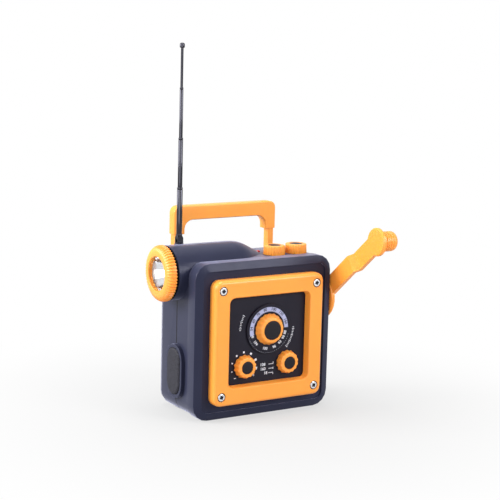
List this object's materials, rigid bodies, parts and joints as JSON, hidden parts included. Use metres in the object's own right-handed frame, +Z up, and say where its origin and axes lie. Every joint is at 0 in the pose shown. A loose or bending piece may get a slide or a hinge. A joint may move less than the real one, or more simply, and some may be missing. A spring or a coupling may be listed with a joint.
{
  "type": "hand cranked flashlight radio",
  "caption": "Square hand cranked flashlight radio: two-part case with a lamp barrel across its top, framed dial, knobs, telescopic antenna, folding handle and side crank.",
  "frame": {"origin": "on the resting plane, under the middle of the front flange's flat lower edge", "axes": "+X to the right as seen from the front, +Y from the front to the back, +Z up"},
  "size_m": [0.1821, 0.1481, 0.3222],
  "materials": {
    "slate_plastic": "fine matte moulding grain",
    "orange_plastic": "satin orange moulding",
    "panel_plastic": "dark satin panel with pale scale marks",
    "cap_plastic": "dark matte caps",
    "chrome": "polished plating",
    "steel": "plain sheet and turned steel",
    "brass": "turned brass",
    "rubber": "textured black rubber",
    "clear_plastic": "clear moulding",
    "nylon": "white nylon",
    "board": "green solder mask",
    "red_lens": "clear red moulding",
    "cell": "printed sleeve without text",
    "ferrite": "sintered ferrite"
  },
  "bodies": {
    "case": {"front_shell": "slate_plastic", "rear_shell": "slate_plastic", "battery_tray": "slate_plastic", "jack_housing": "slate_plastic", "front_frame": "orange_plastic", "lamp_ring": "orange_plastic", "control_panel": "panel_plastic", "frame_screw_1": "chrome", "frame_screw_2": "chrome", "frame_screw_3": "chrome", "frame_screw_4": "chrome", "lamp_reflector": "chrome", "volume_control": "steel", "band_switch": "steel", "power_switch": "steel", "light_switch": "steel", "handle_pin_left": "steel", "handle_pin_right": "steel", "gear_plate": "steel", "dynamo": "steel", "loudspeaker": "steel", "power_socket": "steel", "phone_socket": "steel", "crank_bush": "brass", "lamp_seal": "rubber", "lamp_lens": "clear_plastic", "lamp_bulb": "clear_plastic", "tuning_capacitor": "nylon", "circuit_board": "board", "charge_light": "red_lens", "battery_cell_1": "cell", "battery_cell_2": "cell", "battery_cell_3": "cell", "ferrite_rod": "ferrite"},
    "crank": {"crank_arm": "orange_plastic", "crank_shaft": "steel", "crank_knob_pin": "steel", "drive_gear": "nylon"},
    "crank_grip": {"crank_knob": "orange_plastic"},
    "idler": {"idler_gear": "nylon"},
    "rotor": {"dynamo_pinion": "brass"},
    "tuning": {"tuning_knob": "orange_plastic", "tuning_cap": "cap_plastic", "dial_plate": "panel_plastic"},
    "volume": {"volume_knob": "orange_plastic", "volume_cap": "cap_plastic"},
    "band": {"band_knob": "orange_plastic", "band_cap": "cap_plastic"},
    "power": {"power_knob": "orange_plastic", "power_cap": "cap_plastic"},
    "light": {"light_knob": "orange_plastic", "light_cap": "cap_plastic"},
    "antenna_base": {"antenna_fork": "chrome"},
    "antenna_section_1": {"antenna_tube_1": "chrome"},
    "antenna_section_2": {"antenna_tube_2": "chrome"},
    "antenna_section_3": {"antenna_tube_3": "chrome"},
    "antenna_section_4": {"antenna_tube_4": "chrome"},
    "carrying_handle": {"handle": "orange_plastic"},
    "rear_door": {"battery_door": "slate_plastic"},
    "side_cover": {"jack_cover": "rubber"}
  },
  "joints": [
    {"name": "crank_turn", "type": "hinge", "parent": "case", "child": "crank", "pos_m": [0.0698, 0.01075, 0.097], "axis": [1, 0, 0], "continuous": true},
    {"name": "crank_knob_spin", "type": "hinge", "parent": "crank", "child": "crank_grip", "pos_m": [0.0798, -0.06238, 0.15685], "axis": [1, 0, 0], "continuous": true},
    {"name": "idler_turn", "type": "hinge", "parent": "case", "child": "idler", "pos_m": [0.0568, 0.02377, 0.08607], "axis": [1, 0, 0], "continuous": true},
    {"name": "dynamo_turn", "type": "hinge", "parent": "case", "child": "rotor", "pos_m": [0.05, 0.02869, 0.06772], "axis": [1, 0, 0], "continuous": true},
    {"name": "tuning_turn", "type": "hinge", "parent": "case", "child": "tuning", "pos_m": [0.0018, -0.01235, 0.0772], "axis": [0, -1, 0], "range_deg": [0, 170]},
    {"name": "volume_turn", "type": "hinge", "parent": "case", "child": "volume", "pos_m": [-0.0217, -0.01055, 0.0459], "axis": [0, -1, 0], "range_deg": [-135, 135]},
    {"name": "band_turn", "type": "hinge", "parent": "case", "child": "band", "pos_m": [0.0217, -0.01055, 0.0457], "axis": [0, -1, 0], "range_deg": [-30, 30]},
    {"name": "power_turn", "type": "hinge", "parent": "case", "child": "power", "pos_m": [0.0233, 0.01665, 0.1373], "axis": [0, 0, 1], "range_deg": [-45, 45]},
    {"name": "light_turn", "type": "hinge", "parent": "case", "child": "light", "pos_m": [0.0461, 0.01665, 0.1373], "axis": [0, 0, 1], "range_deg": [-45, 45]},
    {"name": "antenna_swivel", "type": "hinge", "parent": "case", "child": "antenna_base", "pos_m": [-0.0608, 0.03925, 0.1492], "axis": [0, 0, 1], "range_deg": [-180, 180]},
    {"name": "antenna_tilt", "type": "hinge", "parent": "antenna_base", "child": "antenna_section_1", "pos_m": [-0.0608, 0.03925, 0.1537], "axis": [0, 1, 0], "range_deg": [0, 90]},
    {"name": "antenna_slide_2", "type": "slide", "parent": "antenna_section_1", "child": "antenna_section_2", "axis": [0, 0, 1], "range_m": [-0.034, 0]},
    {"name": "antenna_slide_3", "type": "slide", "parent": "antenna_section_2", "child": "antenna_section_3", "axis": [0, 0, 1], "range_m": [-0.043, 0]},
    {"name": "antenna_slide_4", "type": "slide", "parent": "antenna_section_3", "child": "antenna_section_4", "axis": [0, 0, 1], "range_m": [-0.0333, 0]},
    {"name": "handle_fold", "type": "hinge", "parent": "case", "child": "carrying_handle", "pos_m": [0, 0.06845, 0.121], "axis": [1, 0, 0], "range_deg": [-180, 0]},
    {"name": "battery_door_open", "type": "hinge", "parent": "case", "child": "rear_door", "pos_m": [0, 0.06325, 0.0128], "axis": [-1, 0, 0], "range_deg": [0, 90]},
    {"name": "jack_cover_open", "type": "hinge", "parent": "case", "child": "side_cover", "pos_m": [-0.0713, 0.03735, 0.039], "axis": [0, 0, -1], "range_deg": [0, 100]}
  ],
  "couplings": [
    {"joint": "idler_turn", "follows": "crank_turn", "ratio": -2.4},
    {"joint": "dynamo_turn", "follows": "crank_turn", "ratio": 9}
  ]
}
